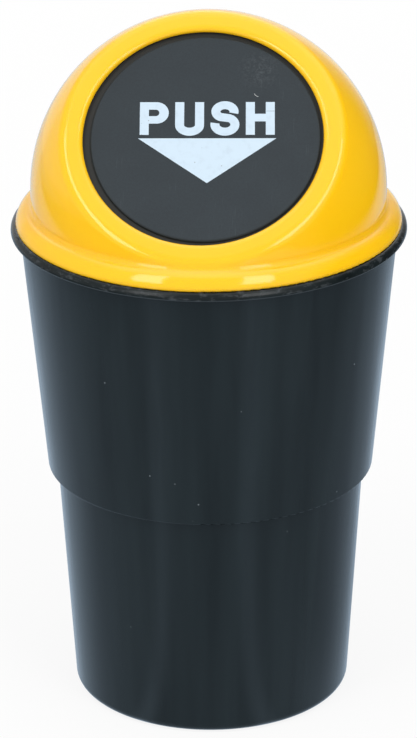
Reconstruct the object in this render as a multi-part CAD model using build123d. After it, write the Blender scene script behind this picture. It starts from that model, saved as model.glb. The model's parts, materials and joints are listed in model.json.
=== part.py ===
from build123d import *
from math import asin, atan2, cos, degrees, hypot, radians, sin, sqrt, tan
import os

# Car trash bin: a stepped cup, a dome lid with a slanted opening, and a sprung push flap.
# Millimetres, +Z up, origin on the floor under the cup's centre, flap facing -Y.

# Cup, moulded in one piece
cup_height = 113.6          # floor to the top of the rim
cup_wall = 1.6
base_radius = 31.6          # lower barrel's wall, carried down to the floor
step_height = 55.0
step_width = 2.1            # upper section's wall beyond the barrel's, at the step
shoulder_radius = 37.2      # upper section's wall, just over the step
rim_radius = 44.6
rim_overhang = 1.9          # rim beyond the upper section's wall, carried up to the rim's top
rim_thickness = 1.8
rim_edge_round = 0.25
rim_side = 0.1              # straight strip between the rim's lower and upper rounds
shoulder_round = 0.4
base_round = 2.0
floor_round = 2.0
foot_ring_width = 3.0
base_recess = 0.8

# Dome lid, moulded in one piece
dome_rise = 7.6             # dome's centre above the cup's rim
lid_wall = 1.7
rim_ledge = 1.1             # strip of the cup's rim that shows outside the flange
flange_height = 3.8         # also the radius of its quarter round
crease_tuck = 0.3           # top of the quarter round inside the dome's widest ring
crease_round = 1.0          # hollow round where the dome and bezel rise from the flange
flange_edge_round = 0.3
skirt_depth = 8.0
skirt_clearance = 0.15      # skirt to the cup's inner wall, all round

# Slanted opening and its bezel
opening_tilt = 48.0         # degrees from level to the opening's axis
opening_round = 0.9
opening_flare = 30.0        # degrees that the opening's wall widens by, going in
bezel_depth = 15.0          # bezel's face below the top of the ball that it cuts
bezel_width = 3.67          # opening's edge, where it is narrowest, to the bezel's round
bezel_round = 2.2

# Push flap, moulded in one piece
flap_wall = 1.6
flap_gap = 1.13             # face to the opening's edge, all round when centred
flap_recess = 1.0           # face below the bezel
flap_side_shift = 0.5       # flap rests off centre, within its play on the pin
face_round = 0.5
stop_lip_overlap = 1.7      # lip behind the bezel, beyond the opening's wall
stop_lip_thickness = 1.4
stop_gap = 0.1              # lip to the bezel's back when closed

# Hinge behind the top of the bezel
hinge_above_lip = 0.4       # pin's axis above the stop lip's edge, along the slope
hinge_depth = 7.0           # pin's axis behind the bezel's face
pin_radius = 1.0
pin_head_radius = 1.6
pin_head_length = 0.8
pin_end = 0.8               # plain end that stands out of the far ear
pin_fit_clearance = 0.03    # pin in the lid's ears
pin_running_clearance = 0.05
knuckle_radius = 2.4
knuckle_width = 3.0
knuckle_foot = 5.0          # knuckle's foot below the pin, along the slope
side_play = 0.6             # knuckle to ear, each side, when the flap is centred
ear_width = 2.4

# Torsion spring between the knuckles
wire_radius = 0.4
coil_radius = 1.9           # middle of the wire
coil_pitch = 1.0
coil_full_turns = 5
coil_side_gap = 1.05        # coil to the knuckles, each side, when the flap is centred
fixed_leg_start = 45.0      # degrees round the pin from the slope's upward direction
flap_leg_length = 9.0
leg_gap = 0.05              # leg to the flap's back
wall_leg_gap = 0.25         # leg's end to the dome's inner wall

# Places that follow from those sizes
barrel_top_radius = shoulder_radius - step_width
mouth_radius = rim_radius - rim_overhang
rim_top_round = rim_thickness - rim_edge_round - rim_side
rim_bottom = cup_height - rim_thickness
flange_radius = rim_radius - rim_ledge
crease_radius = flange_radius - flange_height
dome_radius = crease_radius + crease_tuck
dome_centre = (0, 0, cup_height + dome_rise)
crease_height = cup_height + flange_height
tilt = radians(opening_tilt)
# Opening's own frame: X across, Y up the slope, Z out along the opening's axis
bezel_plane = Plane(origin=dome_centre, x_dir=(1, 0, 0), z_dir=(0, -cos(tilt), sin(tilt)))
on_bezel = bezel_plane.location
bezel_offset = dome_radius - bezel_depth
bezel_radius = sqrt((dome_radius - bezel_round) ** 2 - (bezel_offset - bezel_round) ** 2)
opening_radius = bezel_radius - bezel_width
# Opening's corner before it is rounded, where its flared wall meets the bezel's face
half_corner = radians(90 - opening_flare) / 2
corner_radius = opening_radius - opening_round * (1 / tan(half_corner) - 1)
stop_level = bezel_offset - lid_wall - stop_gap
lip_back = stop_level - stop_lip_thickness
face_level = bezel_offset - flap_recess
plate_back = face_level - flap_wall
face_radius = opening_radius - flap_gap
opening_back_radius = corner_radius + lid_wall * tan(radians(opening_flare))
lip_radius = opening_back_radius + stop_lip_overlap
hinge_up = lip_radius + hinge_above_lip
hinge_out = bezel_offset - hinge_depth
leg_rise = plate_back - wire_radius - leg_gap - hinge_out
leg_slope = degrees(asin(leg_rise / hypot(flap_leg_length, coil_radius)) - atan2(coil_radius, flap_leg_length))
coil_turns = coil_full_turns + (90 - leg_slope - fixed_leg_start) / 360
coil_length = coil_turns * coil_pitch
knuckle_inner = coil_length / 2 + wire_radius + coil_side_gap
knuckle_outer = knuckle_inner + knuckle_width
ear_inner = knuckle_outer + side_play
ear_outer = ear_inner + ear_width


def barrel_radius(height):
    return base_radius + (barrel_top_radius - base_radius) * height / step_height


def upper_radius(height):
    share = (height - step_height) / (cup_height - step_height)
    return shoulder_radius + (mouth_radius - shoulder_radius) * share


# Lid's skirt, inside the cup's mouth
skirt_bottom = cup_height - skirt_depth
skirt_top_radius = mouth_radius - cup_wall - skirt_clearance
skirt_end_radius = upper_radius(skirt_bottom) - cup_wall - skirt_clearance


def section(points):
    return make_face(Polyline([(radius, 0, height) for radius, height in points], close=True))


def round_corner(face, corner, radius):
    target = Vector(corner[0], 0, corner[1])
    nearest = min(face.vertices(), key=lambda vertex: (Vector(vertex) - target).length)
    return fillet(nearest, radius)


def across_hinge(start, outline, width):
    # A profile drawn up the slope and outwards, given a width across the opening
    profile_plane = Plane(origin=(start, 0, 0), x_dir=(0, 1, 0), z_dir=(1, 0, 0))
    return extrude(profile_plane * outline, width)


def pin_cylinder(start, end, radius):
    # A round bar on the hinge's axis
    end_plane = Plane(origin=(start, hinge_up, hinge_out), x_dir=(0, 1, 0), z_dir=(1, 0, 0))
    return extrude(end_plane * Circle(radius), end - start)


def make_cup():
    floor_top = base_recess + cup_wall
    ledge = step_height + cup_wall
    recess_radius = base_radius - base_round - foot_ring_width
    mouth_inner = mouth_radius - cup_wall
    ledge_inner = barrel_radius(ledge) - cup_wall
    floor_inner = barrel_radius(floor_top) - cup_wall
    wall = section([
        (0, base_recess),
        (recess_radius, base_recess),
        (recess_radius, 0),
        (base_radius, 0),
        (barrel_top_radius, step_height),
        (shoulder_radius, step_height),
        (upper_radius(rim_bottom), rim_bottom),
        (rim_radius, rim_bottom),
        (rim_radius, cup_height),
        (mouth_inner, cup_height),
        (upper_radius(ledge) - cup_wall, ledge),
        (ledge_inner, ledge),
        (floor_inner, floor_top),
        (0, floor_top),
    ])
    wall = round_corner(wall, (base_radius, 0), base_round)
    wall = round_corner(wall, (shoulder_radius, step_height), shoulder_round)
    wall = round_corner(wall, (ledge_inner, ledge), shoulder_round)
    wall = round_corner(wall, (rim_radius, rim_bottom), rim_edge_round)
    wall = round_corner(wall, (rim_radius, cup_height), rim_top_round)
    wall = round_corner(wall, (mouth_inner, cup_height), rim_edge_round)
    wall = round_corner(wall, (floor_inner, floor_top), floor_round)
    return revolve(wall, Axis.Z)


def dome_core(inset):
    # Ball with one flat, rounded at the flat's edge: the dome's form, set in by a distance
    ball = dome_radius - inset
    flat = bezel_offset - inset
    edge = bezel_round - inset
    edge_level = bezel_offset - bezel_round
    half_turn = atan2(bezel_radius, edge_level) / 2
    touch = ball / (dome_radius - bezel_round)
    tangent_point = (bezel_radius * touch, 0, edge_level * touch)
    edge_middle = (bezel_radius + edge * sin(half_turn), 0, edge_level + edge * cos(half_turn))
    outline = [
        ThreePointArc((0, 0, -ball), (ball, 0, 0), tangent_point),
        ThreePointArc(tangent_point, edge_middle, (bezel_radius, 0, flat)),
        Line((bezel_radius, 0, flat), (0, 0, flat)),
        Line((0, 0, flat), (0, 0, -ball)),
    ]
    return revolve(make_face(outline), Axis.Z)


def make_lid_outside():
    # Dome on its quarter-round flange and its skirt, rounded along the crease, not yet hollow
    corner = flange_height * (1 - sqrt(0.5))
    outline = [
        Polyline(
            (crease_radius, 0, crease_height),
            (0, 0, crease_height),
            (0, 0, skirt_bottom),
            (skirt_end_radius, 0, skirt_bottom),
            (skirt_top_radius, 0, cup_height),
            (flange_radius, 0, cup_height),
        ),
        ThreePointArc(
            (flange_radius, 0, cup_height),
            (flange_radius - corner, 0, crease_height - corner),
            (crease_radius, 0, crease_height),
        ),
    ]
    flange = round_corner(make_face(outline), (flange_radius, cup_height), flange_edge_round)
    dome = split(on_bezel * dome_core(0), bisect_by=Plane.XY.offset(cup_height), keep=Keep.TOP)
    outside = revolve(flange, Axis.Z) + dome
    lowest, highest = crease_height - crease_tuck, crease_height + crease_tuck
    return fillet(outside.edges().filter_by_position(Axis.Z, lowest, highest), crease_round)


def make_lid_inside():
    # Room inside the dome, the flange and the skirt
    below = section([
        (0, skirt_bottom),
        (skirt_end_radius - lid_wall, skirt_bottom),
        (skirt_top_radius - lid_wall, cup_height),
        (dome_radius - 2 * lid_wall, crease_height - lid_wall),
        (0, crease_height - lid_wall),
    ])
    return revolve(below, Axis.Z) + on_bezel * dome_core(lid_wall)


def make_ears():
    # Two ears from the dome's inner wall, round the ends of the pin
    reach = dome_radius / hypot(hinge_up, hinge_out)
    wall_point = (hinge_up * reach, hinge_out * reach)
    middle = ((hinge_up + wall_point[0]) / 2, (hinge_out + wall_point[1]) / 2)
    plate = SlotCenterPoint(middle, (hinge_up, hinge_out), 2 * knuckle_radius)
    ears = across_hinge(ear_inner, plate, ear_width) + across_hinge(-ear_outer, plate, ear_width)
    ears = ears & dome_core(lid_wall / 2)
    return ears - pin_cylinder(-ear_outer, ear_outer, pin_radius + pin_fit_clearance)


def make_dome_lid():
    past_face = corner_radius - lid_wall * tan(radians(opening_flare))
    opening = Pos(0, 0, bezel_offset) * Cone(opening_back_radius, past_face, 2 * lid_wall)
    lid = make_lid_outside() - make_lid_inside() - on_bezel * opening
    circles = lid.edges().filter_by(GeomType.CIRCLE)
    opening_corner = min(circles, key=lambda edge: abs(edge.radius - corner_radius))
    lid = fillet(opening_corner, opening_round)
    return lid + on_bezel * make_ears()


def make_push_flap():
    recess_radius = face_radius - flap_wall
    plate = section([
        (0, plate_back),
        (recess_radius, plate_back),
        (recess_radius, lip_back),
        (lip_radius, lip_back),
        (lip_radius, stop_level),
        (face_radius, stop_level),
        (face_radius, face_level),
        (0, face_level),
    ])
    plate = round_corner(plate, (face_radius, face_level), face_round)
    flap = revolve(plate, Axis.Z)
    foot = (hinge_up - knuckle_foot, plate_back)
    middle = ((hinge_up + foot[0]) / 2, (hinge_out + foot[1]) / 2)
    arm = SlotCenterPoint(middle, (hinge_up, hinge_out), 2 * knuckle_radius)
    arms = across_hinge(knuckle_inner, arm, knuckle_width)
    arms += across_hinge(-knuckle_outer, arm, knuckle_width)
    flap += split(arms, bisect_by=Plane.XY.offset(stop_level), keep=Keep.BOTTOM)
    flap -= pin_cylinder(-knuckle_outer, knuckle_outer, pin_radius + pin_running_clearance)
    return on_bezel * Pos(flap_side_shift, 0, 0) * flap


def make_hinge_pin():
    pin = pin_cylinder(-ear_outer - pin_end, ear_outer + pin_head_length, pin_radius)
    pin += pin_cylinder(ear_outer, ear_outer + pin_head_length, pin_head_radius)
    return on_bezel * pin


def make_return_spring():
    # Coil round the pin, one leg on the flap's back and one against the dome's wall
    coil_start = -coil_length / 2
    start_turn = radians(fixed_leg_start)
    coil = Rot(0, 0, fixed_leg_start) * Helix(coil_pitch, coil_length, coil_radius)

    # Length of the fixed leg from the coil to the dome's inner wall
    from_up = hinge_up + coil_radius * cos(start_turn)
    from_out = hinge_out + coil_radius * sin(start_turn)
    inwards = from_up * sin(start_turn) - from_out * cos(start_turn)
    wall_reach = dome_radius - lid_wall - wire_radius - wall_leg_gap
    room = wall_reach ** 2 - from_up ** 2 - from_out ** 2 - coil_start ** 2
    fixed_leg_length = sqrt(inwards ** 2 + room) - inwards

    fixed_leg = Line(coil @ 0 - (coil % 0) * fixed_leg_length, coil @ 0)
    flap_leg = Line(coil @ 1, coil @ 1 + (coil % 1) * flap_leg_length)
    path = Wire([fixed_leg, coil, flap_leg])
    wire_end = Plane(origin=path @ 0, z_dir=path % 0)
    spring = sweep(wire_end * Circle(wire_radius), path=path)
    coil_plane = Plane(origin=(coil_start, hinge_up, hinge_out), x_dir=(0, 1, 0), z_dir=(1, 0, 0))
    return on_bezel * coil_plane.location * spring


os.makedirs("parts", exist_ok=True)
export_step(make_cup(), "parts/cup.step")
export_step(make_dome_lid(), "parts/dome_lid.step")
export_step(make_push_flap(), "parts/push_flap.step")
export_step(make_hinge_pin(), "parts/hinge_pin.step")
export_step(make_return_spring(), "parts/return_spring.step")
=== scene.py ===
import json
from math import cos, pi, radians, sin

import bpy
from mathutils import Matrix, Vector


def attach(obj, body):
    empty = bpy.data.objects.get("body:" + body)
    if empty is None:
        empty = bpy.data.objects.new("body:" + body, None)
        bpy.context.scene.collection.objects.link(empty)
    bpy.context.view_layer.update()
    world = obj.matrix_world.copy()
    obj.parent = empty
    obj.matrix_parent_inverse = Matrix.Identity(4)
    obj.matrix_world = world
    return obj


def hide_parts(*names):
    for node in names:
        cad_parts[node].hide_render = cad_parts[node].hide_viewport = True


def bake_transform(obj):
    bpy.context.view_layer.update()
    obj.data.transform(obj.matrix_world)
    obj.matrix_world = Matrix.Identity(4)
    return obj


# Car trash bin: black moulded cup, glossy yellow dome lid, grey push flap with a white print
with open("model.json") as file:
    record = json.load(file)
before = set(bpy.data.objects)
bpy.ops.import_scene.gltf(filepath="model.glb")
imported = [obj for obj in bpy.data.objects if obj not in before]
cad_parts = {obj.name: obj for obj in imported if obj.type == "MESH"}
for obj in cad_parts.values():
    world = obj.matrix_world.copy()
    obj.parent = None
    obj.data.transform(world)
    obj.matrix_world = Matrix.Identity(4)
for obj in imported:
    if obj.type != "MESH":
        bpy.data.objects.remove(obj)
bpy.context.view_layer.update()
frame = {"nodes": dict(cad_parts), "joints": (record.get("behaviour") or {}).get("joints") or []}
nodes = frame["nodes"]
mm = 0.001
print("frame loaded:", ", ".join(sorted(nodes)))


def linearColour(hexColour):
    # sRGB hex to the linear colour that shaders take
    parts = [int(hexColour[i:i + 2], 16) / 255 for i in (1, 3, 5)]
    return [p / 12.92 if p <= 0.04045 else ((p + 0.055) / 1.055) ** 2.4 for p in parts] + [1.0]


def perMetre(sizeMm):
    # pattern scale that repeats about once every sizeMm
    return 1000 / sizeMm


def addNode(tree, kind, settings=None, links=None):
    # settings are sockets where the node has one of that name or number, and properties otherwise
    node = tree.nodes.new(kind)
    for name, value in (settings or {}).items():
        if isinstance(name, str) and name not in node.inputs:
            setattr(node, name, value)
    for name, value in (settings or {}).items():
        if not isinstance(name, str) or name in node.inputs:
            node.inputs[name].default_value = value
    for name, source in (links or {}).items():
        tree.links.new(source, node.inputs[name])
    return node


def startMaterial(name):
    material = bpy.data.materials.new(name)
    material.use_nodes = True
    tree = material.node_tree
    tree.nodes.clear()
    place = addNode(tree, "ShaderNodeTexCoord").outputs["Object"]
    return material, tree, place


def endMaterial(tree, shader):
    addNode(tree, "ShaderNodeOutputMaterial", links={"Surface": shader.outputs[0]})


# Polypropylene, injection moulded in a satin mould: soft broad shine, faint draw lines, a little dust
cupFinish = {
    "colour": "#0c1314",
    "paleColour": "#182022",     # where the mould's satin is a little worn
    "streakMm": (7, 7, 400),     # slow bands: across, across, along the draw
    "drawLineMm": (1.2, 1.2, 60),
    "drawLineShare": 0.5,        # height of the draw lines beside the satin
    "satinMm": 0.5,              # real satin is finer, drawn this coarse to show
    "noiseSpread": (0.3, 0.7),   # part of a noise's range that the finish runs through
    "roughness": (0.17, 0.24),
    "bump": (0.06, 0.05),        # strength, and depth in millimetres
    "ior": 1.49,
    "specularLevel": 0.22,
    "dustColour": "#6a7175",
    "dustMm": 5.0,               # one cell in about this much, and some cells hold a speck
    "dustCore": (0.025, 0.045),  # radii of a speck, in cells, where it starts to fade and ends
    "dustFrom": 0.72,            # cells that draw more than this hold one
    "rimDepth": (2.0, 1.6),      # millimetres below the top, where the rubbed rim and its painted edge highlight start and are full
    "rimEdge": 1.7,              # millimetres below the top, a painted highlight along the rim's lower edge
    "rimEdgeWidth": (0.1, 0.25),
    "rimEdgeHighlightShare": 0.5,
    "rubMm": (2.2, 2.2, 0.8),
    "rubSpread": (0.52, 0.7),
    "rubShare": 0.8,
    # lighter grey of the rubbed patches, also painted as a highlight along the rim's lower edge
    "rubAndEdgeHighlightColour": "#454a4e",
    "rubRoughness": 0.5,
}


def blackPolypropylene(finish, rimTop):
    material, tree, place = startMaterial("satin black polypropylene")
    spreadLow, spreadHigh = finish["noiseSpread"]
    streakScale = [perMetre(size) for size in finish["streakMm"]]
    drawn = addNode(tree, "ShaderNodeMapping", {"Scale": streakScale}, {"Vector": place})
    streaks = addNode(tree, "ShaderNodeTexNoise", {"Scale": 1.0, "Detail": 3.0},
                      {"Vector": drawn.outputs[0]})
    banded = addNode(tree, "ShaderNodeMapRange", {"From Min": spreadLow, "From Max": spreadHigh},
                     {"Value": streaks.outputs["Fac"]})
    lineScale = [perMetre(size) for size in finish["drawLineMm"]]
    stretched = addNode(tree, "ShaderNodeMapping", {"Scale": lineScale}, {"Vector": place})
    drawLines = addNode(tree, "ShaderNodeTexNoise", {"Scale": 1.0, "Detail": 2.0},
                        {"Vector": stretched.outputs[0]})
    satin = addNode(tree, "ShaderNodeTexNoise", {"Scale": perMetre(finish["satinMm"]), "Detail": 1.0},
                    {"Vector": place})
    tone = addNode(tree, "ShaderNodeMix", {
        "data_type": "RGBA", 6: linearColour(finish["colour"]), 7: linearColour(finish["paleColour"]),
    }, {0: banded.outputs[0]})
    # dust: the small core of a few of the cells
    cells = addNode(tree, "ShaderNodeTexVoronoi", {"Scale": perMetre(finish["dustMm"])}, {"Vector": place})
    coreFull, coreEnd = finish["dustCore"]
    core = addNode(tree, "ShaderNodeMapRange", {
        "From Min": coreFull, "From Max": coreEnd, "To Min": 1.0, "To Max": 0.0,
    }, {"Value": cells.outputs["Distance"]})
    chosen = addNode(tree, "ShaderNodeSeparateColor", links={"Color": cells.outputs["Color"]})
    few = addNode(tree, "ShaderNodeMath", {"operation": "GREATER_THAN", 1: finish["dustFrom"]},
                  {0: chosen.outputs[0]})
    dust = addNode(tree, "ShaderNodeMath", {"operation": "MULTIPLY"},
                   {0: core.outputs[0], 1: few.outputs[0]})
    dusty = addNode(tree, "ShaderNodeMix", {"data_type": "RGBA", 7: linearColour(finish["dustColour"])},
                    {0: dust.outputs[0], 6: tone.outputs[2]})
    # rubbed patches along the rim, and a painted highlight along its lower edge
    level = addNode(tree, "ShaderNodeSeparateXYZ", links={"Vector": place}).outputs["Z"]
    start, full = [rimTop - depth * mm for depth in finish["rimDepth"]]
    onRim = addNode(tree, "ShaderNodeMapRange", {"From Min": start, "From Max": full}, {"Value": level})
    rubScale = [perMetre(size) for size in finish["rubMm"]]
    rubbing = addNode(tree, "ShaderNodeMapping", {"Scale": rubScale}, {"Vector": place})
    patches = addNode(tree, "ShaderNodeTexNoise", {"Scale": 1.0, "Detail": 4.0, "Roughness": 0.65},
                      {"Vector": rubbing.outputs[0]})
    rubLow, rubHigh = finish["rubSpread"]
    patch = addNode(tree, "ShaderNodeMapRange", {
        "From Min": rubLow, "From Max": rubHigh, "To Max": finish["rubShare"],
    }, {"Value": patches.outputs["Fac"]})
    # painted highlight: a thin lighter band along the rim's lower edge
    edgeLevel = rimTop - finish["rimEdge"] * mm
    offEdge = addNode(tree, "ShaderNodeMath", {"operation": "SUBTRACT", 1: edgeLevel}, {0: level})
    besideEdge = addNode(tree, "ShaderNodeMath", {"operation": "ABSOLUTE"}, {0: offEdge.outputs[0]})
    near, far = [width * mm for width in finish["rimEdgeWidth"]]
    edgeHighlight = addNode(tree, "ShaderNodeMapRange", {
        "From Min": near, "From Max": far, "To Min": finish["rimEdgeHighlightShare"], "To Max": 0.0,
    }, {"Value": besideEdge.outputs[0]})
    wearAndEdgeHighlight = addNode(tree, "ShaderNodeMath", {"operation": "MAXIMUM"},
                   {0: patch.outputs[0], 1: edgeHighlight.outputs[0]})
    rubbedAndEdgeHighlight = addNode(tree, "ShaderNodeMath", {"operation": "MULTIPLY"},
                     {0: onRim.outputs[0], 1: wearAndEdgeHighlight.outputs[0]})
    colour = addNode(tree, "ShaderNodeMix", {"data_type": "RGBA", 7: linearColour(finish["rubAndEdgeHighlightColour"])},
                     {0: rubbedAndEdgeHighlight.outputs[0], 6: dusty.outputs[2]})
    low, high = finish["roughness"]
    satinRough = addNode(tree, "ShaderNodeMapRange", {
        "From Min": spreadLow, "From Max": spreadHigh, "To Min": low, "To Max": high,
    }, {"Value": drawLines.outputs["Fac"]})
    rough = addNode(tree, "ShaderNodeMix", {"data_type": "FLOAT", 3: finish["rubRoughness"]},
                    {0: rubbedAndEdgeHighlight.outputs[0], 2: satinRough.outputs[0]})
    height = addNode(tree, "ShaderNodeMath", {"operation": "MULTIPLY_ADD", 1: finish["drawLineShare"]},
                     {0: drawLines.outputs["Fac"], 2: satin.outputs["Fac"]})
    strength, depth = finish["bump"]
    bump = addNode(tree, "ShaderNodeBump", {"Strength": strength, "Distance": depth * mm},
                   {"Height": height.outputs[0]})
    skin = addNode(tree, "ShaderNodeBsdfPrincipled", {
        "IOR": finish["ior"], "Specular IOR Level": finish["specularLevel"],
    }, {"Base Color": colour.outputs[2], "Roughness": rough.outputs[0], "Normal": bump.outputs[0]})
    endMaterial(tree, skin)
    return material


# ABS, injection moulded in a polished mould: mirror-like but slightly wavy gloss over deep yellow
lidFinish = {
    "colour": "#fcc611",
    "deepColour": "#f9bf0b",
    "cloudMm": 40,
    "waveMm": 9,                 # slow waviness of the polished mould
    "bump": (0.02, 0.2),         # strength, and depth in millimetres
    "scuffMm": (0.5, 14, 14),
    "scuffTurn": (0.5, 0.3, 0.9),
    "scuffSpread": (0.35, 0.75),
    "roughness": (0.06, 0.11),
    "ior": 1.53,
    "glowShare": 0.12,           # light that goes a little way into the plastic
    "glowReach": (1.2, 0.7, 0.1),
    "glowMm": 1.0,
    "edgeSamples": 8,
    "easedMm": 1.4,              # polishing eases the edges over this much
    "creaseMm": 2.2,             # hollows narrower than this get painted shade in their colour and a rougher gloss
    "creaseShare": (0.66, 0.9),  # openness of a hollow where that is full and ends
    # painted shade: a deeper yellow laid in the hollows, where shade falls
    "creaseShadeColour": "#efb006",
    "creaseRoughness": 0.4,
}


def yellowAbs(finish):
    material, tree, place = startMaterial("polished yellow ABS")
    cloud = addNode(tree, "ShaderNodeTexNoise", {"Scale": perMetre(finish["cloudMm"]), "Detail": 2.0},
                    {"Vector": place})
    wave = addNode(tree, "ShaderNodeTexNoise", {"Scale": perMetre(finish["waveMm"]), "Detail": 1.0},
                   {"Vector": place})
    scuffScale = [perMetre(size) for size in finish["scuffMm"]]
    turned = addNode(tree, "ShaderNodeMapping", {"Rotation": finish["scuffTurn"], "Scale": scuffScale},
                     {"Vector": place})
    scuffs = addNode(tree, "ShaderNodeTexNoise", {"Scale": 1.0, "Detail": 3.0},
                     {"Vector": turned.outputs[0]})
    tone = addNode(tree, "ShaderNodeMix", {
        "data_type": "RGBA", 6: linearColour(finish["colour"]), 7: linearColour(finish["deepColour"]),
    }, {0: cloud.outputs["Fac"]})
    low, high = finish["roughness"]
    scuffLow, scuffHigh = finish["scuffSpread"]
    polish = addNode(tree, "ShaderNodeMapRange", {
        "From Min": scuffLow, "From Max": scuffHigh, "To Min": low, "To Max": high,
    }, {"Value": scuffs.outputs["Fac"]})
    # painted shade: the colour deepens in narrow hollows and creases, found by ambient occlusion; the same
    # hollows also get a rougher gloss
    hollow = addNode(tree, "ShaderNodeAmbientOcclusion", {
        "samples": finish["edgeSamples"], "only_local": True, "Distance": finish["creaseMm"] * mm,
    })
    shut, clear = finish["creaseShare"]
    paintedShadeAndDullCrease = addNode(tree, "ShaderNodeMapRange", {
        "From Min": shut, "From Max": clear, "To Min": 1.0, "To Max": 0.0,
    }, {"Value": hollow.outputs["AO"]})
    colour = addNode(tree, "ShaderNodeMix", {
        "data_type": "RGBA", 7: linearColour(finish["creaseShadeColour"]),
    }, {0: paintedShadeAndDullCrease.outputs[0], 6: tone.outputs[2]})
    rough = addNode(tree, "ShaderNodeMix", {"data_type": "FLOAT", 3: finish["creaseRoughness"]},
                    {0: paintedShadeAndDullCrease.outputs[0], 2: polish.outputs[0]})
    eased = addNode(tree, "ShaderNodeBevel", {
        "samples": finish["edgeSamples"], "Radius": finish["easedMm"] * mm,
    })
    strength, depth = finish["bump"]
    bump = addNode(tree, "ShaderNodeBump", {"Strength": strength, "Distance": depth * mm},
                   {"Height": wave.outputs["Fac"], "Normal": eased.outputs[0]})
    skin = addNode(tree, "ShaderNodeBsdfPrincipled", {
        "IOR": finish["ior"], "Subsurface Weight": finish["glowShare"],
        "Subsurface Radius": finish["glowReach"], "Subsurface Scale": finish["glowMm"] * mm,
    }, {"Base Color": colour.outputs[2], "Roughness": rough.outputs[0], "Normal": bump.outputs[0]})
    endMaterial(tree, skin)
    return material


# Polypropylene moulded on a spark-eroded face: even, dull, fine-pitted, with light scuffs from fingers
flapFinish = {
    "colour": "#262d32",
    "paleColour": "#2d353a",
    "scuffColour": "#464c51",
    "lipShadeColour": "#292a29",      # painted shade on the plain lip behind the face, a touch darker than the face
    "lipDepth": (0.35, 0.6),     # millimetres below the face where the grain ends and the lip's painted shade starts and is full
    "grainMm": 0.45,             # real pits are finer, drawn this coarse to show
    "bump": (0.25, 0.05),        # strength, and depth in millimetres
    "cloudMm": 9,
    "cloudShare": 0.5,           # of the mottle, beside the grain
    "mottleSpread": (0.45, 1.05),
    "roughness": (0.52, 0.66),
    "ior": 1.49,
    "specularLevel": 0.27,
    "scratchMm": (0.22, 5, 5),
    "scratchTurn": (0.4, 0.2, 0.6),
    "scratchCrest": (0.72, 0.82),
    "scratchCloud": (0.52, 0.66),   # where the slow noise lets scratches show
    "scratchShare": 0.35,
    "smudge": (11.2, 17.2),      # millimetres on the face, right and up from its centre
    "smudgeMm": (0.5, 5.2),      # radii where it starts to fade and ends
    "smudgeGrainMm": 0.9,
    "fleckSpread": (0.46, 0.72),
    "fleckShare": 0.42,
    "smudgeColour": "#62666a",
    "hair": (11.3, 11.55),       # millimetres on the face, centre of the arc that a hair of lint lies in
    "hairRadius": 1.05,
    "hairHeading": 232,          # degrees on the face from its right to the middle of the hair
    "hairHalf": 34,              # degrees to each side of that
    "hairWidth": (0.01, 0.06),   # millimetres from its middle, where it starts to fade and ends
    "hairColour": "#d8dcdc",
}


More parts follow.
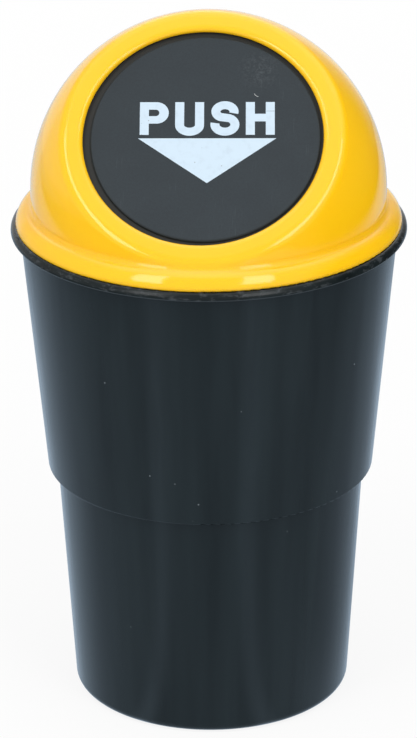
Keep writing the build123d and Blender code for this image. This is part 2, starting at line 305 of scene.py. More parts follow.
def greyPolypropylene(finish, faceOut, faceLevel, marks):
    material, tree, place = startMaterial("spark-grained grey polypropylene")
    grain = addNode(tree, "ShaderNodeTexNoise", {"Scale": perMetre(finish["grainMm"]), "Detail": 2.0},
                    {"Vector": place})
    cloud = addNode(tree, "ShaderNodeTexNoise", {"Scale": perMetre(finish["cloudMm"]), "Detail": 4.0},
                    {"Vector": place})
    mottle = addNode(tree, "ShaderNodeMath", {"operation": "MULTIPLY_ADD", 1: finish["cloudShare"]},
                     {0: cloud.outputs["Fac"], 2: grain.outputs["Fac"]})
    mottleLow, mottleHigh = finish["mottleSpread"]
    spread = addNode(tree, "ShaderNodeMapRange", {"From Min": mottleLow, "From Max": mottleHigh},
                     {"Value": mottle.outputs[0]})
    tone = addNode(tree, "ShaderNodeMix", {
        "data_type": "RGBA", 6: linearColour(finish["colour"]), 7: linearColour(finish["paleColour"]),
    }, {0: spread.outputs[0]})
    # scratches: the sharp crest of a drawn-out noise, kept where a slow noise allows it
    scratchScale = [perMetre(size) for size in finish["scratchMm"]]
    turned = addNode(tree, "ShaderNodeMapping", {"Rotation": finish["scratchTurn"], "Scale": scratchScale},
                     {"Vector": place})
    crest = addNode(tree, "ShaderNodeTexNoise", {"Scale": 1.0, "Detail": 0.0},
                    {"Vector": turned.outputs[0]})
    crestLow, crestHigh = finish["scratchCrest"]
    thin = addNode(tree, "ShaderNodeMapRange", {"From Min": crestLow, "From Max": crestHigh},
                   {"Value": crest.outputs["Fac"]})
    cloudLow, cloudHigh = finish["scratchCloud"]
    allowed = addNode(tree, "ShaderNodeMapRange", {
        "From Min": cloudLow, "From Max": cloudHigh, "To Max": finish["scratchShare"],
    }, {"Value": cloud.outputs["Fac"]})
    scratch = addNode(tree, "ShaderNodeMath", {"operation": "MULTIPLY"},
                      {0: thin.outputs[0], 1: allowed.outputs[0]})
    scuffed = addNode(tree, "ShaderNodeMix", {"data_type": "RGBA", 7: linearColour(finish["scuffColour"])},
                      {0: scratch.outputs[0], 6: tone.outputs[2]})
    # a dusty smudge where fingers push
    offset = addNode(tree, "ShaderNodeVectorMath", {"operation": "DISTANCE", 1: marks["smudge"]}, {0: place})
    full, end = [radius * mm for radius in finish["smudgeMm"]]
    near = addNode(tree, "ShaderNodeMapRange", {
        "From Min": full, "From Max": end, "To Min": 1.0, "To Max": 0.0,
    }, {"Value": offset.outputs["Value"]})
    flecks = addNode(tree, "ShaderNodeTexNoise", {
        "Scale": perMetre(finish["smudgeGrainMm"]), "Detail": 4.0, "Roughness": 0.7,
    }, {"Vector": place})
    fleckLow, fleckHigh = finish["fleckSpread"]
    fleck = addNode(tree, "ShaderNodeMapRange", {
        "From Min": fleckLow, "From Max": fleckHigh, "To Max": finish["fleckShare"],
    }, {"Value": flecks.outputs["Fac"]})
    smudge = addNode(tree, "ShaderNodeMath", {"operation": "MULTIPLY"},
                     {0: near.outputs[0], 1: fleck.outputs[0]})
    smudged = addNode(tree, "ShaderNodeMix", {"data_type": "RGBA", 7: linearColour(finish["smudgeColour"])},
                      {0: smudge.outputs[0], 6: scuffed.outputs[2]})
    # a hair of lint: a short piece of a ring
    hairRadius = finish["hairRadius"] * mm
    fromHair = addNode(tree, "ShaderNodeVectorMath", {"operation": "SUBTRACT", 1: marks["hair"]}, {0: place})
    ring = addNode(tree, "ShaderNodeVectorMath", {"operation": "LENGTH"}, {0: fromHair.outputs[0]})
    offRing = addNode(tree, "ShaderNodeMath", {"operation": "SUBTRACT", 1: hairRadius},
                      {0: ring.outputs["Value"]})
    besideRing = addNode(tree, "ShaderNodeMath", {"operation": "ABSOLUTE"}, {0: offRing.outputs[0]})
    core, rim = [width * mm for width in finish["hairWidth"]]
    onRing = addNode(tree, "ShaderNodeMapRange", {
        "From Min": core, "From Max": rim, "To Min": 1.0, "To Max": 0.0,
    }, {"Value": besideRing.outputs[0]})
    headed = addNode(tree, "ShaderNodeVectorMath", {"operation": "DOT_PRODUCT", 1: marks["hairTowards"]},
                     {0: fromHair.outputs[0]})
    inside = addNode(tree, "ShaderNodeMath", {
        "operation": "GREATER_THAN", 1: hairRadius * cos(radians(finish["hairHalf"])),
    }, {0: headed.outputs["Value"]})
    hair = addNode(tree, "ShaderNodeMath", {"operation": "MULTIPLY"},
                   {0: onRing.outputs[0], 1: inside.outputs[0]})
    linted = addNode(tree, "ShaderNodeMix", {"data_type": "RGBA", 7: linearColour(finish["hairColour"])},
                     {0: hair.outputs[0], 6: smudged.outputs[2]})
    # painted shade: below the face, the lip takes a plain darker colour, as if the gap around the flap were
    # in shade
    height = addNode(tree, "ShaderNodeVectorMath", {"operation": "DOT_PRODUCT", 1: faceOut}, {0: place})
    top, foot = [faceLevel - depth * mm for depth in finish["lipDepth"]]
    paintedLipShade = addNode(tree, "ShaderNodeMapRange", {"From Min": top, "From Max": foot},
                    {"Value": height.outputs["Value"]})
    colour = addNode(tree, "ShaderNodeMix", {"data_type": "RGBA", 7: linearColour(finish["lipShadeColour"])},
                     {0: paintedLipShade.outputs[0], 6: linted.outputs[2]})
    low, high = finish["roughness"]
    rough = addNode(tree, "ShaderNodeMapRange", {"To Min": low, "To Max": high},
                    {"Value": grain.outputs["Fac"]})
    strength, depth = finish["bump"]
    bump = addNode(tree, "ShaderNodeBump", {"Strength": strength, "Distance": depth * mm},
                   {"Height": grain.outputs["Fac"]})
    skin = addNode(tree, "ShaderNodeBsdfPrincipled", {
        "IOR": finish["ior"], "Specular IOR Level": finish["specularLevel"],
    }, {"Base Color": colour.outputs[2], "Roughness": rough.outputs[0], "Normal": bump.outputs[0]})
    endMaterial(tree, skin)
    return material


# Pad-printing ink, one thin coat: flat white with a cold cast, small pits where it missed the grain
inkFinish = {
    "colour": "#c3d5e3",
    "thinColour": "#b6c7d5",
    "thinSpread": (0.5, 0.8),
    "thinShare": 0.7,
    "mottleMm": 1.6,
    "bump": (0.15, 0.02),        # strength, and depth in millimetres
    "roughness": 0.5,
    "ior": 1.48,
    "pitMm": 1.5,                # one cell in about this much, and a few cells hold a pit
    "pitCore": (0.05, 0.12),     # radii of a pit, in cells, where it starts to fade and ends
    "pitFrom": 0.85,             # cells that draw more than this hold one
    "pitColour": "#8d979f",
}


def whiteInk(finish):
    material, tree, place = startMaterial("white pad-printing ink")
    mottle = addNode(tree, "ShaderNodeTexNoise", {"Scale": perMetre(finish["mottleMm"]), "Detail": 3.0},
                     {"Vector": place})
    thinLow, thinHigh = finish["thinSpread"]
    thin = addNode(tree, "ShaderNodeMapRange", {
        "From Min": thinLow, "From Max": thinHigh, "To Max": finish["thinShare"],
    }, {"Value": mottle.outputs["Fac"]})
    tone = addNode(tree, "ShaderNodeMix", {
        "data_type": "RGBA", 6: linearColour(finish["colour"]), 7: linearColour(finish["thinColour"]),
    }, {0: thin.outputs[0]})
    cells = addNode(tree, "ShaderNodeTexVoronoi", {"Scale": perMetre(finish["pitMm"])}, {"Vector": place})
    coreFull, coreEnd = finish["pitCore"]
    core = addNode(tree, "ShaderNodeMapRange", {
        "From Min": coreFull, "From Max": coreEnd, "To Min": 1.0, "To Max": 0.0,
    }, {"Value": cells.outputs["Distance"]})
    chosen = addNode(tree, "ShaderNodeSeparateColor", links={"Color": cells.outputs["Color"]})
    few = addNode(tree, "ShaderNodeMath", {"operation": "GREATER_THAN", 1: finish["pitFrom"]},
                  {0: chosen.outputs[0]})
    pits = addNode(tree, "ShaderNodeMath", {"operation": "MULTIPLY"},
                   {0: core.outputs[0], 1: few.outputs[0]})
    colour = addNode(tree, "ShaderNodeMix", {"data_type": "RGBA", 7: linearColour(finish["pitColour"])},
                     {0: pits.outputs[0], 6: tone.outputs[2]})
    strength, depth = finish["bump"]
    bump = addNode(tree, "ShaderNodeBump", {"Strength": strength, "Distance": depth * mm},
                   {"Height": mottle.outputs["Fac"]})
    skin = addNode(tree, "ShaderNodeBsdfPrincipled", {
        "Roughness": finish["roughness"], "IOR": finish["ior"],
    }, {"Base Color": colour.outputs[2], "Normal": bump.outputs[0]})
    endMaterial(tree, skin)
    return material


# Steel wire, drawn through a die: bright, with fine lines along its length
steelFinish = {
    "pinColour": "#b9babd",
    "springColour": "#9fa1a6",
    "lineMm": (2.5, 0.12, 0.12),
    "roughness": (0.22, 0.38),
    "bump": (0.1, 0.01),         # strength, and depth in millimetres
}


def drawnSteel(name, colour, finish):
    material, tree, place = startMaterial(name)
    lineScale = [perMetre(size) for size in finish["lineMm"]]
    stretched = addNode(tree, "ShaderNodeMapping", {"Scale": lineScale}, {"Vector": place})
    lines = addNode(tree, "ShaderNodeTexNoise", {"Scale": 1.0, "Detail": 2.0},
                    {"Vector": stretched.outputs[0]})
    low, high = finish["roughness"]
    rough = addNode(tree, "ShaderNodeMapRange", {"To Min": low, "To Max": high},
                    {"Value": lines.outputs["Fac"]})
    strength, depth = finish["bump"]
    bump = addNode(tree, "ShaderNodeBump", {"Strength": strength, "Distance": depth * mm},
                   {"Height": lines.outputs["Fac"]})
    skin = addNode(tree, "ShaderNodeBsdfPrincipled", {"Metallic": 1.0, "Base Color": linearColour(colour)},
                   {"Roughness": rough.outputs[0], "Normal": bump.outputs[0]})
    endMaterial(tree, skin)
    return material


def dress(piece, material):
    piece.data.materials.clear()
    piece.data.materials.append(material)


def meshOf(curve):
    # the surface of a curve as a mesh
    drawn = bpy.data.objects.new(curve.name + "Line", curve)
    bpy.context.scene.collection.objects.link(drawn)
    bpy.context.view_layer.update()
    mesh = bpy.data.meshes.new_from_object(drawn.evaluated_get(bpy.context.evaluated_depsgraph_get()))
    bpy.data.objects.remove(drawn)
    mesh.name = curve.name
    return mesh


def addPiece(name, mesh, material):
    piece = bpy.data.objects.new(name, mesh)
    bpy.context.scene.collection.objects.link(piece)
    dress(piece, material)
    return piece


rimTop = max(v.co.z for v in nodes["cup"].data.vertices)
dress(nodes["cup"], blackPolypropylene(cupFinish, rimTop))
dress(nodes["dome_lid"], yellowAbs(lidFinish))
dress(nodes["hinge_pin"], drawnSteel("drawn steel pin", steelFinish["pinColour"], steelFinish))
print("finishes on the cup, the lid and the pin")

# Flap's front face, found on its mesh: the largest flat that looks forwards and up
flapMesh = nodes["push_flap"].data
frontPolygon = max((p for p in flapMesh.polygons if p.normal.y < 0 and p.normal.z > 0), key=lambda p: p.area)
faceOut = frontPolygon.normal.copy()
faceAcross = Vector((1, 0, 0))
faceUp = faceOut.cross(faceAcross)
faceLevel = frontPolygon.center.dot(faceOut)
flatWithin = 0.01 * mm
onFace = [v.co for v in flapMesh.vertices if abs(v.co.dot(faceOut) - faceLevel) < flatWithin]


def middle(axis):
    reach = [co.dot(axis) for co in onFace]
    return (min(reach) + max(reach)) / 2


faceCentre = faceOut * faceLevel + faceAcross * middle(faceAcross) + faceUp * middle(faceUp)


def facePoint(across, up):
    return faceCentre + (faceAcross * across + faceUp * up) * mm


hairHeading = radians(flapFinish["hairHeading"])
flapMarks = {
    "smudge": facePoint(*flapFinish["smudge"]),
    "hair": facePoint(*flapFinish["hair"]),
    "hairTowards": faceAcross * cos(hairHeading) + faceUp * sin(hairHeading),
}
dress(nodes["push_flap"], greyPolypropylene(flapFinish, faceOut, faceLevel, flapMarks))
print("finish on the flap")

# Print on the flap, millimetres on its face from the face's centre
flapPrint = {
    "letterWidth": 6.36,
    "letterHeight": 8.12,
    "letterGap": 1.42,
    "stem": 1.98,
    "centre": 0.4,               # middle of the word and the arrow, to the right
    "baseline": 0.75,
    "arrowTop": -0.12,
    "arrowWidth": 30.4,
    "arrowHeight": 11.02,
    "turn": 1.26,                # degrees that the print's lines rise to the right
    "lean": 2.35,                # degrees that its uprights lean to the left
    "bowlHeight": 5.32,          # the P's bowl, and the hole in it
    "holeHeight": 1.63,
    "holeInset": 0.1,            # the P's wall is this much thicker than a stem at its right
    "overshoot": 0.22,           # round letters pass the baseline by this
    "uDepth": 1.65,              # of the U's round, at the middle of the stroke
    "uStraight": 1.0,
    "sUpper": (2.0, 1.6),        # radii of the S's two bowls, at the middle of the stroke
    "sUpperArc": (-14, 236),     # degrees
    "sLower": (2.2, 1.77),
    "sLowerArc": (62, -192),
    "barHeight": 1.89,           # the H's bar, and how far it lies above the middle
    "barRaise": 0.2,
    "crackUp": 5.85,             # hairline across the last letter's right stem
    "crackWidth": 0.07,
    "crackShare": 0.95,          # of the stem's width
    "coat": 0.03,                # thickness of the ink
    "sunk": 0.01,                # of that, in the grain
}


def arcPoints(centre, radii, start, end, steps=24):
    turns = [radians(start + (end - start) * i / steps) for i in range(steps + 1)]
    return [(centre[0] + radii[0] * cos(t), centre[1] + radii[1] * sin(t)) for t in turns]


def strokeLoop(line, width):
    # outline of a line drawn with a flat pen of that width
    left, right = [], []
    for i, point in enumerate(line):
        before, after = line[max(i - 1, 0)], line[min(i + 1, len(line) - 1)]
        along = Vector(after) - Vector(before)
        side = Vector((-along.y, along.x)).normalized() * width / 2
        left.append(tuple(Vector(point) + side))
        right.append(tuple(Vector(point) - side))
    return left + right[::-1]


def letterLoops(size):
    # closed outlines of each letter in its own box, holes among them
    w, h, s = size["letterWidth"], size["letterHeight"], size["stem"]
    bowl, counter = size["bowlHeight"], size["holeHeight"]
    bowlMiddle = h - bowl / 2
    bowlStart = w - bowl / 2
    holeStart = w - s - size["holeInset"] - counter / 2
    pOuter = [(0, 0), (s, 0), (s, h - bowl)]
    pOuter += arcPoints((bowlStart, bowlMiddle), (bowl / 2, bowl / 2), -90, 90) + [(0, h)]
    pHole = [(s, bowlMiddle - counter / 2)]
    pHole += arcPoints((holeStart, bowlMiddle), (counter / 2, counter / 2), -90, 90)
    pHole += [(s, bowlMiddle + counter / 2)]
    overshoot = size["overshoot"]
    uReach, uDepth = (w - s) / 2, size["uDepth"]
    uLow = uDepth + s / 2 - overshoot
    uTurn = uLow + size["uStraight"]
    uLine = [(s / 2, h), (s / 2, uTurn)]
    uLine += arcPoints((w / 2, uLow), (uReach, uDepth), 180, 360)
    uLine += [(w - s / 2, uTurn), (w - s / 2, h)]
    top = h + overshoot - s / 2
    foot = s / 2 - overshoot
    upper, lower = size["sUpper"], size["sLower"]
    sLine = arcPoints((w / 2, top - upper[1]), upper, *size["sUpperArc"])
    sLine += arcPoints((w / 2, foot + lower[1]), lower, *size["sLowerArc"])
    barMiddle, halfBar = h / 2 + size["barRaise"], size["barHeight"] / 2
    barLow, barHigh = barMiddle - halfBar, barMiddle + halfBar
    crackLow = size["crackUp"]
    crackHigh = crackLow + size["crackWidth"]
    crackEnd = w - s * size["crackShare"]
    hOuter = [(0, 0), (s, 0), (s, barLow), (w - s, barLow), (w - s, 0), (w, 0)]
    hOuter += [(w, crackLow), (crackEnd, crackLow), (crackEnd, crackHigh), (w, crackHigh)]
    hOuter += [(w, h), (w - s, h), (w - s, barHigh), (s, barHigh), (s, h), (0, h)]
    return {
        "p": [pOuter, pHole],
        "u": [strokeLoop(uLine, s)],
        "s": [strokeLoop(sLine, s)],
        "h": [hOuter],
    }


def inkPiece(name, loops, size, material):
    # flat filled outlines, in millimetres on the face, as a thin coat of ink
    curve = bpy.data.curves.new(name, "CURVE")
    curve.dimensions = "2D"
    curve.fill_mode = "BOTH"
    curve.extrude = size["coat"] * mm / 2
    turn, lean = radians(size["turn"]), radians(size["lean"])
    for loop in loops:
        spline = curve.splines.new("POLY")
        spline.points.add(len(loop) - 1)
        spline.use_cyclic_u = True
        for point, (a, b) in zip(spline.points, loop):
            across = a * cos(turn) - b * sin(lean)
            up = a * sin(turn) + b * cos(lean)
            point.co = (across * mm, up * mm, 0, 1)
    flat = meshOf(curve)
    lift = (size["coat"] / 2 - size["sunk"]) * mm
    onFlap = Matrix((faceAcross, faceUp, faceOut)).transposed().to_4x4()
    flat.transform(Matrix.Translation(faceCentre + faceOut * lift) @ onFlap)
    piece = addPiece(name, flat, material)
    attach(piece, "flap")


ink = whiteInk(inkFinish)
loops = letterLoops(flapPrint)
letterStep = flapPrint["letterWidth"] + flapPrint["letterGap"]
wordWidth = letterStep * len(loops) - flapPrint["letterGap"]
for place, (letter, outline) in enumerate(loops.items()):
    startX = flapPrint["centre"] - wordWidth / 2 + place * letterStep
    moved = [[(x + startX, y + flapPrint["baseline"]) for x, y in loop] for loop in outline]
    inkPiece("print_letter_" + letter, moved, flapPrint, ink)
halfArrow = flapPrint["arrowWidth"] / 2
arrowTop = flapPrint["arrowTop"]
arrowMiddle = flapPrint["centre"]
arrowPoint = (arrowMiddle, arrowTop - flapPrint["arrowHeight"])
arrowLoop = [(arrowMiddle - halfArrow, arrowTop), arrowPoint, (arrowMiddle + halfArrow, arrowTop)]
inkPiece("print_arrow", [arrowLoop], flapPrint, ink)
print("print on the flap:", len(loops), "letters and an arrow")

# Torsion spring on the pin: one leg against the dome, one on the flap's back
springSize = {
    "wireRadius": 0.4,
    "coilRadius": 1.9,           # middle of the wire
    "pitch": 1.0,
    "fullTurns": 5,
    "fixedLegAngle": 45,         # degrees round the pin from up the slope, where the fixed leg leaves
    "fixedLeg": 5.7,
    "flapLegSlope": 13.51,       # degrees between the flap's back and its leg
    "flapLeg": 9.0,
    "stepsPerTurn": 28,
}


def makeSpring(size, material):
    swing = next(joint for joint in frame["joints"] if joint["name"] == "flap_swing")
    hinge = Vector(swing["pos_m"])
    turns = size["fullTurns"] + (90 - size["flapLegSlope"] - size["fixedLegAngle"]) / 360
    reach = turns * size["pitch"] / 2
    steps = round(turns * size["stepsPerTurn"])
    climb = size["pitch"] / (2 * pi * size["coilRadius"])   # along the pin, for each length of wire round it

    def onCoil(share):
        angle = radians(size["fixedLegAngle"] + 360 * turns * share)
        outFromPin = faceUp * cos(angle) + faceOut * sin(angle)
        along = faceOut * cos(angle) - faceUp * sin(angle) + faceAcross * climb
        across = faceAcross * reach * (2 * share - 1)
        return hinge + (across + outFromPin * size["coilRadius"]) * mm, along.normalized()

    first, firstAlong = onCoil(0)
    last, lastAlong = onCoil(1)
    path = [first - firstAlong * size["fixedLeg"] * mm]
    path += [onCoil(i / steps)[0] for i in range(steps + 1)]
    path += [last + lastAlong * size["flapLeg"] * mm]
    curve = bpy.data.curves.new("spring", "CURVE")
    curve.dimensions = "3D"
    curve.bevel_depth = size["wireRadius"] * mm
    curve.bevel_resolution = 3
    curve.use_fill_caps = True
    spline = curve.splines.new("POLY")
    spline.points.add(len(path) - 1)
    for point, co in zip(spline.points, path):
        point.co = (*co, 1)
    wire = meshOf(curve)
    wire.polygons.foreach_set("use_smooth", [True] * len(wire.polygons))
    spring = addPiece("coil_spring", wire, material)
    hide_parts("return_spring")
    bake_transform(spring)


makeSpring(springSize, drawnSteel("drawn spring steel", steelFinish["springColour"], steelFinish))
print("spring wound on the pin")

# Camera, from the front, a little to the right and above
cameraView = {
    "aim": (0, 0, 76.92),        # millimetres
    "elevation": 23.31,
    "azimuth": 4.1,
    "roll": -0.386,
    "distance": 1001.86,
    "frameHeight": 738,          # pixels
    "focalPixels": 4389.3,
    "shiftPixels": -1.33,
}


def outwards(turn, rise):
    # direction from the object, degrees from the front to the right and upwards
    turn, rise = radians(turn), radians(rise)
    return Vector((sin(turn) * cos(rise), -cos(turn) * cos(rise), sin(rise)))


def placeCamera(view):
    camera = bpy.data.cameras.new("camera")
    camera.sensor_fit = "VERTICAL"
    camera.sensor_height = 36    # millimetres
    camera.lens = view["focalPixels"] / view["frameHeight"] * camera.sensor_height
    camera.shift_x = view["shiftPixels"] / view["frameHeight"]
    camera.clip_end = 20         # metres, past the far side of the floor
    rig = bpy.data.objects.new("camera", camera)
    back = outwards(view["azimuth"], view["elevation"])
    look = (-back).to_track_quat("-Z", "Y").to_matrix().to_4x4()
    eye = (Vector(view["aim"]) + back * view["distance"]) * mm
    rig.matrix_world = Matrix.Translation(eye) @ look @ Matrix.Rotation(radians(view["roll"]), 4, "Z")
    bpy.context.scene.collection.objects.link(rig)
    bpy.context.scene.camera = rig


placeCamera(cameraView)

# Studio: a strip of white paper on a table, an even room, two tall soft panels that lean over from the front
studio = {
    "floorSize": 1.3,            # metres
    "floorDrop": 0.05,           # millimetres below the base, so that the two faces don't coincide
    "floorColour": "#f4f4f4",
    "floorWhite": 0.86,          # share of plain white that the camera sees over the lit floor
    "floorFade": (0.2, 0.55),    # metres from the object, where that grows to all of it
    "dullLevel": 0.76,           # light of the room on dull surfaces
    "panels": {"leftPanel": -0.56, "rightPanel": 0.56},   # metres to the right
    "panelForward": 0.625,       # metres in front and up, to the panel's middle
    "panelUp": 1.115,
    "panelLean": 22,             # degrees from upright
    "panelSize": (0.375, 1.35),
    "panelWatts": 6.3,
}

# What reflections meet in that room: levels, and directions in degrees from the front to the right and up.
# A reach is a pair of cosines of the angle to a direction, where its level starts and is full.
mirrored = {
    "middleHeight": 0.11,        # metres up, where the floor's places are looked at from
    "paperColour": "#d2e9ff",    # the paper a little cooler than the camera shows it
    "paperLevel": (1.1, 0.72),   # in the pool of light and out of it
    "poolEdge": (0.18, 0.30),    # metres from the object
    "paperSkew": 0.21,           # the paper runs this much to the left on its way back
    "paperSpread": 0.28,         # and widens this much to each side
    "paperEdge": (0.23, 0.33),   # metres to each side, where the paper ends
    "paperDim": (103, -42),      # where the paper is in half shade
    "paperDimReach": (0.78, 0.96),
    "paperDimShare": 0.72,
    "streakHeading": 28,         # degrees to each side of the front, streaks of the panels on the paper
    "streakWidth": 0.13,         # sine of the angle where they have faded
    "streakFront": (-0.3, -0.6),   # how far forward a heading points, where they start and are full
    "streakLevel": 0.6,
    "aroundLevel": 0.72,
    "tableShare": 0.33,          # of that, on the table beyond the paper
    "tableRise": (-0.22, -0.12),   # rise of a direction, where the table ends and the room is full
    "darkSide": (112, 0),        # a dim corner
    "darkLevel": 0.08,
    "darkReach": (0.5, 0.88),
    "backWall": (-165, -5),
    "backWallLevel": 0.9,
    "backWallReach": (0.79, 0.91),
    "ceiling": (180, 75),
    "ceilingLevel": 1.1,
    "ceilingReach": (0.78, 0.98),
    "backLamp": (-175, 40),
    "backLampLevel": 1.8,
    "backLampReach": (0.86, 0.98),
}


def seenDirectly(tree):
    # 1 for what the camera, a reflection or glass sees, 0 for light that bounces off dull surfaces
    path = addNode(tree, "ShaderNodeLightPath").outputs
    either = addNode(tree, "ShaderNodeMath", {"operation": "MAXIMUM"},
                     {0: path["Is Camera Ray"], 1: path["Is Glossy Ray"]})
    return addNode(tree, "ShaderNodeMath", {"operation": "MAXIMUM"},
                   {0: either.outputs[0], 1: path["Is Transmission Ray"]}).outputs[0]


def towards(tree, direction, place, reach, levels):
    # level that changes with the angle to a place in the room
    cosine = addNode(tree, "ShaderNodeVectorMath", {"operation": "DOT_PRODUCT", 1: outwards(*place)},
                     {0: direction})
    return addNode(tree, "ShaderNodeMapRange", {
        "interpolation_type": "SMOOTHSTEP", "From Min": reach[0], "From Max": reach[1],
        "To Min": levels[0], "To Max": levels[1],
    }, {"Value": cosine.outputs["Value"]}).outputs[0]


def roomSeen(tree, direction, mirrored):
    # brightness that a reflection meets in a direction
    rise = addNode(tree, "ShaderNodeSeparateXYZ", links={"Vector": direction}).outputs["Z"]
    tableEnd, roomFull = mirrored["tableRise"]
    low = addNode(tree, "ShaderNodeMapRange", {
        "From Min": tableEnd, "From Max": roomFull, "To Min": mirrored["tableShare"],
    }, {"Value": rise})
    around = towards(tree, direction, mirrored["darkSide"], mirrored["darkReach"],
                     (mirrored["aroundLevel"], mirrored["darkLevel"]))
    wall, ceiling, lamp = [
        towards(tree, direction, mirrored[name], mirrored[name + "Reach"], (0, mirrored[name + "Level"]))
        for name in ("backWall", "ceiling", "backLamp")]
    lowered = addNode(tree, "ShaderNodeMath", {"operation": "MULTIPLY"}, {0: around, 1: low.outputs[0]})
    sides = addNode(tree, "ShaderNodeMath", {"operation": "MAXIMUM"}, {0: lowered.outputs[0], 1: wall})
    above = addNode(tree, "ShaderNodeMath", {"operation": "MAXIMUM"}, {0: ceiling, 1: lamp})
    both = addNode(tree, "ShaderNodeMath", {"operation": "ADD"}, {0: sides.outputs[0], 1: above.outputs[0]})
    return both.outputs[0]


def paperSeen(tree, spot, away, direction, mirrored):
    # brightness that a reflection meets on the strip of paper, 0 beyond it
    skewed = addNode(tree, "ShaderNodeVectorMath", {
        "operation": "DOT_PRODUCT", 1: (1, mirrored["paperSkew"], 0),
    }, {0: spot})
    aside = addNode(tree, "ShaderNodeMath", {"operation": "ABSOLUTE"}, {0: skewed.outputs["Value"]})
    depth = addNode(tree, "ShaderNodeSeparateXYZ", links={"Vector": spot}).outputs["Y"]
    spread = addNode(tree, "ShaderNodeMath", {"operation": "MULTIPLY_ADD", 1: -mirrored["paperSpread"]},
                     {0: depth, 2: aside.outputs[0]})
    edgeStart, edgeEnd = mirrored["paperEdge"]
    onPaper = addNode(tree, "ShaderNodeMapRange", {
        "interpolation_type": "SMOOTHSTEP", "From Min": edgeStart, "From Max": edgeEnd,
        "To Min": 1.0, "To Max": 0.0,
    }, {"Value": spread.outputs[0]})
    poolStart, poolEnd = mirrored["poolEdge"]
    inPool, outOfPool = mirrored["paperLevel"]
    pool = addNode(tree, "ShaderNodeMapRange", {
        "interpolation_type": "SMOOTHSTEP", "From Min": poolStart, "From Max": poolEnd,
        "To Min": inPool, "To Max": outOfPool,
    }, {"Value": away})
    dim = towards(tree, direction, mirrored["paperDim"], mirrored["paperDimReach"],
                  (1, mirrored["paperDimShare"]))
    lit = addNode(tree, "ShaderNodeMath", {"operation": "MULTIPLY"}, {0: pool.outputs[0], 1: dim})
    seen = addNode(tree, "ShaderNodeMath", {"operation": "MULTIPLY"},
                   {0: onPaper.outputs[0], 1: lit.outputs[0]})
    return seen.outputs[0]


def streaksSeen(tree, spot, mirrored):
    # brightness that the panels' streaks add on the paper in front
    flat = addNode(tree, "ShaderNodeVectorMath", {"operation": "MULTIPLY", 1: (1, 1, 0)}, {0: spot})
    heading = addNode(tree, "ShaderNodeVectorMath", {"operation": "NORMALIZE"}, {0: flat.outputs[0]})
    headed = addNode(tree, "ShaderNodeSeparateXYZ", links={"Vector": heading.outputs[0]}).outputs
    turned = addNode(tree, "ShaderNodeMath", {"operation": "ABSOLUTE"}, {0: headed["X"]})
    streakAt = sin(radians(mirrored["streakHeading"]))
    off = addNode(tree, "ShaderNodeMath", {"operation": "SUBTRACT", 1: streakAt}, {0: turned.outputs[0]})
    beside = addNode(tree, "ShaderNodeMath", {"operation": "ABSOLUTE"}, {0: off.outputs[0]})
    streak = addNode(tree, "ShaderNodeMapRange", {
        "interpolation_type": "SMOOTHSTEP", "From Max": mirrored["streakWidth"],
        "To Min": mirrored["streakLevel"], "To Max": 0.0,
    }, {"Value": beside.outputs[0]})
    frontStart, frontFull = mirrored["streakFront"]
    inFront = addNode(tree, "ShaderNodeMapRange", {"From Min": frontStart, "From Max": frontFull},
                      {"Value": headed["Y"]})
    shine = addNode(tree, "ShaderNodeMath", {"operation": "MULTIPLY"},
                    {0: streak.outputs[0], 1: inFront.outputs[0]})
    return shine.outputs[0]


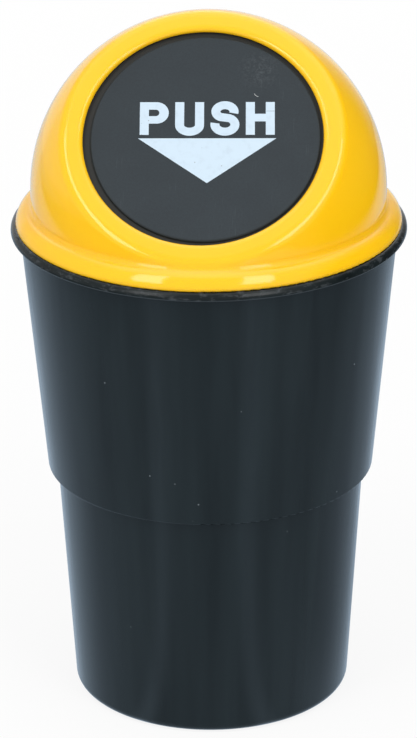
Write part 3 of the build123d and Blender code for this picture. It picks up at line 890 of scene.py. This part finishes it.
# Paper, white and dull: plain white to the camera, and the lit strip on its table to reflections
def floorPaper(room, mirrored):
    material, tree = startMaterial("white floor paper")[:2]
    paper = addNode(tree, "ShaderNodeBsdfDiffuse", {"Color": linearColour(room["floorColour"])})
    straight = addNode(tree, "ShaderNodeLightPath").outputs["Is Camera Ray"]
    shade = addNode(tree, "ShaderNodeMix", {
        "data_type": "RGBA", 6: linearColour(mirrored["paperColour"]), 7: (1, 1, 1, 1),
    }, {0: straight})
    surface = addNode(tree, "ShaderNodeNewGeometry").outputs
    spot = surface["Position"]
    away = addNode(tree, "ShaderNodeVectorMath", {"operation": "LENGTH"}, {0: spot}).outputs["Value"]
    fromMiddle = addNode(tree, "ShaderNodeVectorMath", {
        "operation": "SUBTRACT", 1: (0, 0, mirrored["middleHeight"]),
    }, {0: spot})
    direction = addNode(tree, "ShaderNodeVectorMath", {"operation": "NORMALIZE"},
                        {0: fromMiddle.outputs[0]}).outputs[0]
    met = addNode(tree, "ShaderNodeMath", {"operation": "MAXIMUM"}, {
        0: roomSeen(tree, direction, mirrored), 1: paperSeen(tree, spot, away, direction, mirrored),
    })
    lit = addNode(tree, "ShaderNodeMath", {"operation": "ADD"},
                  {0: met.outputs[0], 1: streaksSeen(tree, spot, mirrored)})
    level = addNode(tree, "ShaderNodeMix", {"data_type": "FLOAT", 3: 1.0}, {0: straight, 2: lit.outputs[0]})
    white = addNode(tree, "ShaderNodeEmission",
                    links={"Color": shade.outputs[2], "Strength": level.outputs[0]})
    fadeStart, fadeEnd = room["floorFade"]
    fade = addNode(tree, "ShaderNodeMapRange", {
        "From Min": fadeStart, "From Max": fadeEnd, "To Min": room["floorWhite"],
    }, {"Value": away})
    most = addNode(tree, "ShaderNodeMix", {"data_type": "FLOAT", 2: 1.0}, {0: straight, 3: fade.outputs[0]})
    share = addNode(tree, "ShaderNodeMath", {"operation": "MULTIPLY"},
                    {0: seenDirectly(tree), 1: most.outputs[0]})
    seen = addNode(tree, "ShaderNodeMixShader",
                   links={0: share.outputs[0], 1: paper.outputs[0], 2: white.outputs[0]})
    # from below the floor is clear, so that the base can be looked at
    clear = addNode(tree, "ShaderNodeBsdfTransparent")
    whole = addNode(tree, "ShaderNodeMixShader",
                    links={0: surface["Backfacing"], 1: seen.outputs[0], 2: clear.outputs[0]})
    endMaterial(tree, whole)
    return material


def makeFloor(room, mirrored):
    half = room["floorSize"] / 2
    corners = [(-half, -half, 0), (half, -half, 0), (half, half, 0), (-half, half, 0)]
    mesh = bpy.data.meshes.new("floor")
    mesh.from_pydata(corners, [], [(0, 1, 2, 3)])
    floor = addPiece("floor", mesh, floorPaper(room, mirrored))
    floor.location.z = -room["floorDrop"] * mm


def makeRoom(room, mirrored):
    world = bpy.data.worlds.new("studio room")
    world.use_nodes = True
    tree = world.node_tree
    tree.nodes.clear()
    direction = addNode(tree, "ShaderNodeTexCoord").outputs["Generated"]
    straight = addNode(tree, "ShaderNodeLightPath").outputs["Is Camera Ray"]
    shown = addNode(tree, "ShaderNodeMix", {"data_type": "FLOAT", 3: 1.0},
                    {0: straight, 2: roomSeen(tree, direction, mirrored)})
    level = addNode(tree, "ShaderNodeMix", {"data_type": "FLOAT", 2: room["dullLevel"]},
                    {0: seenDirectly(tree), 3: shown.outputs[0]})
    light = addNode(tree, "ShaderNodeBackground", {"Color": (1, 1, 1, 1)}, {"Strength": level.outputs[0]})
    addNode(tree, "ShaderNodeOutputWorld", links={"Surface": light.outputs[0]})
    bpy.context.scene.world = world


def placeLights(room):
    for name, aside in room["panels"].items():
        lamp = bpy.data.lights.new(name, "AREA")
        lamp.shape = "RECTANGLE"
        lamp.size, lamp.size_y = room["panelSize"]
        lamp.energy = room["panelWatts"]
        panel = bpy.data.objects.new(name, lamp)
        stand = Matrix.Translation((aside, -room["panelForward"], room["panelUp"]))
        panel.matrix_world = stand @ Matrix.Rotation(radians(90 - room["panelLean"]), 4, "X")
        bpy.context.scene.collection.objects.link(panel)


makeFloor(studio, mirrored)
makeRoom(studio, mirrored)
placeLights(studio)
bpy.context.scene.view_settings.view_transform = "Standard"
print("studio and camera placed")
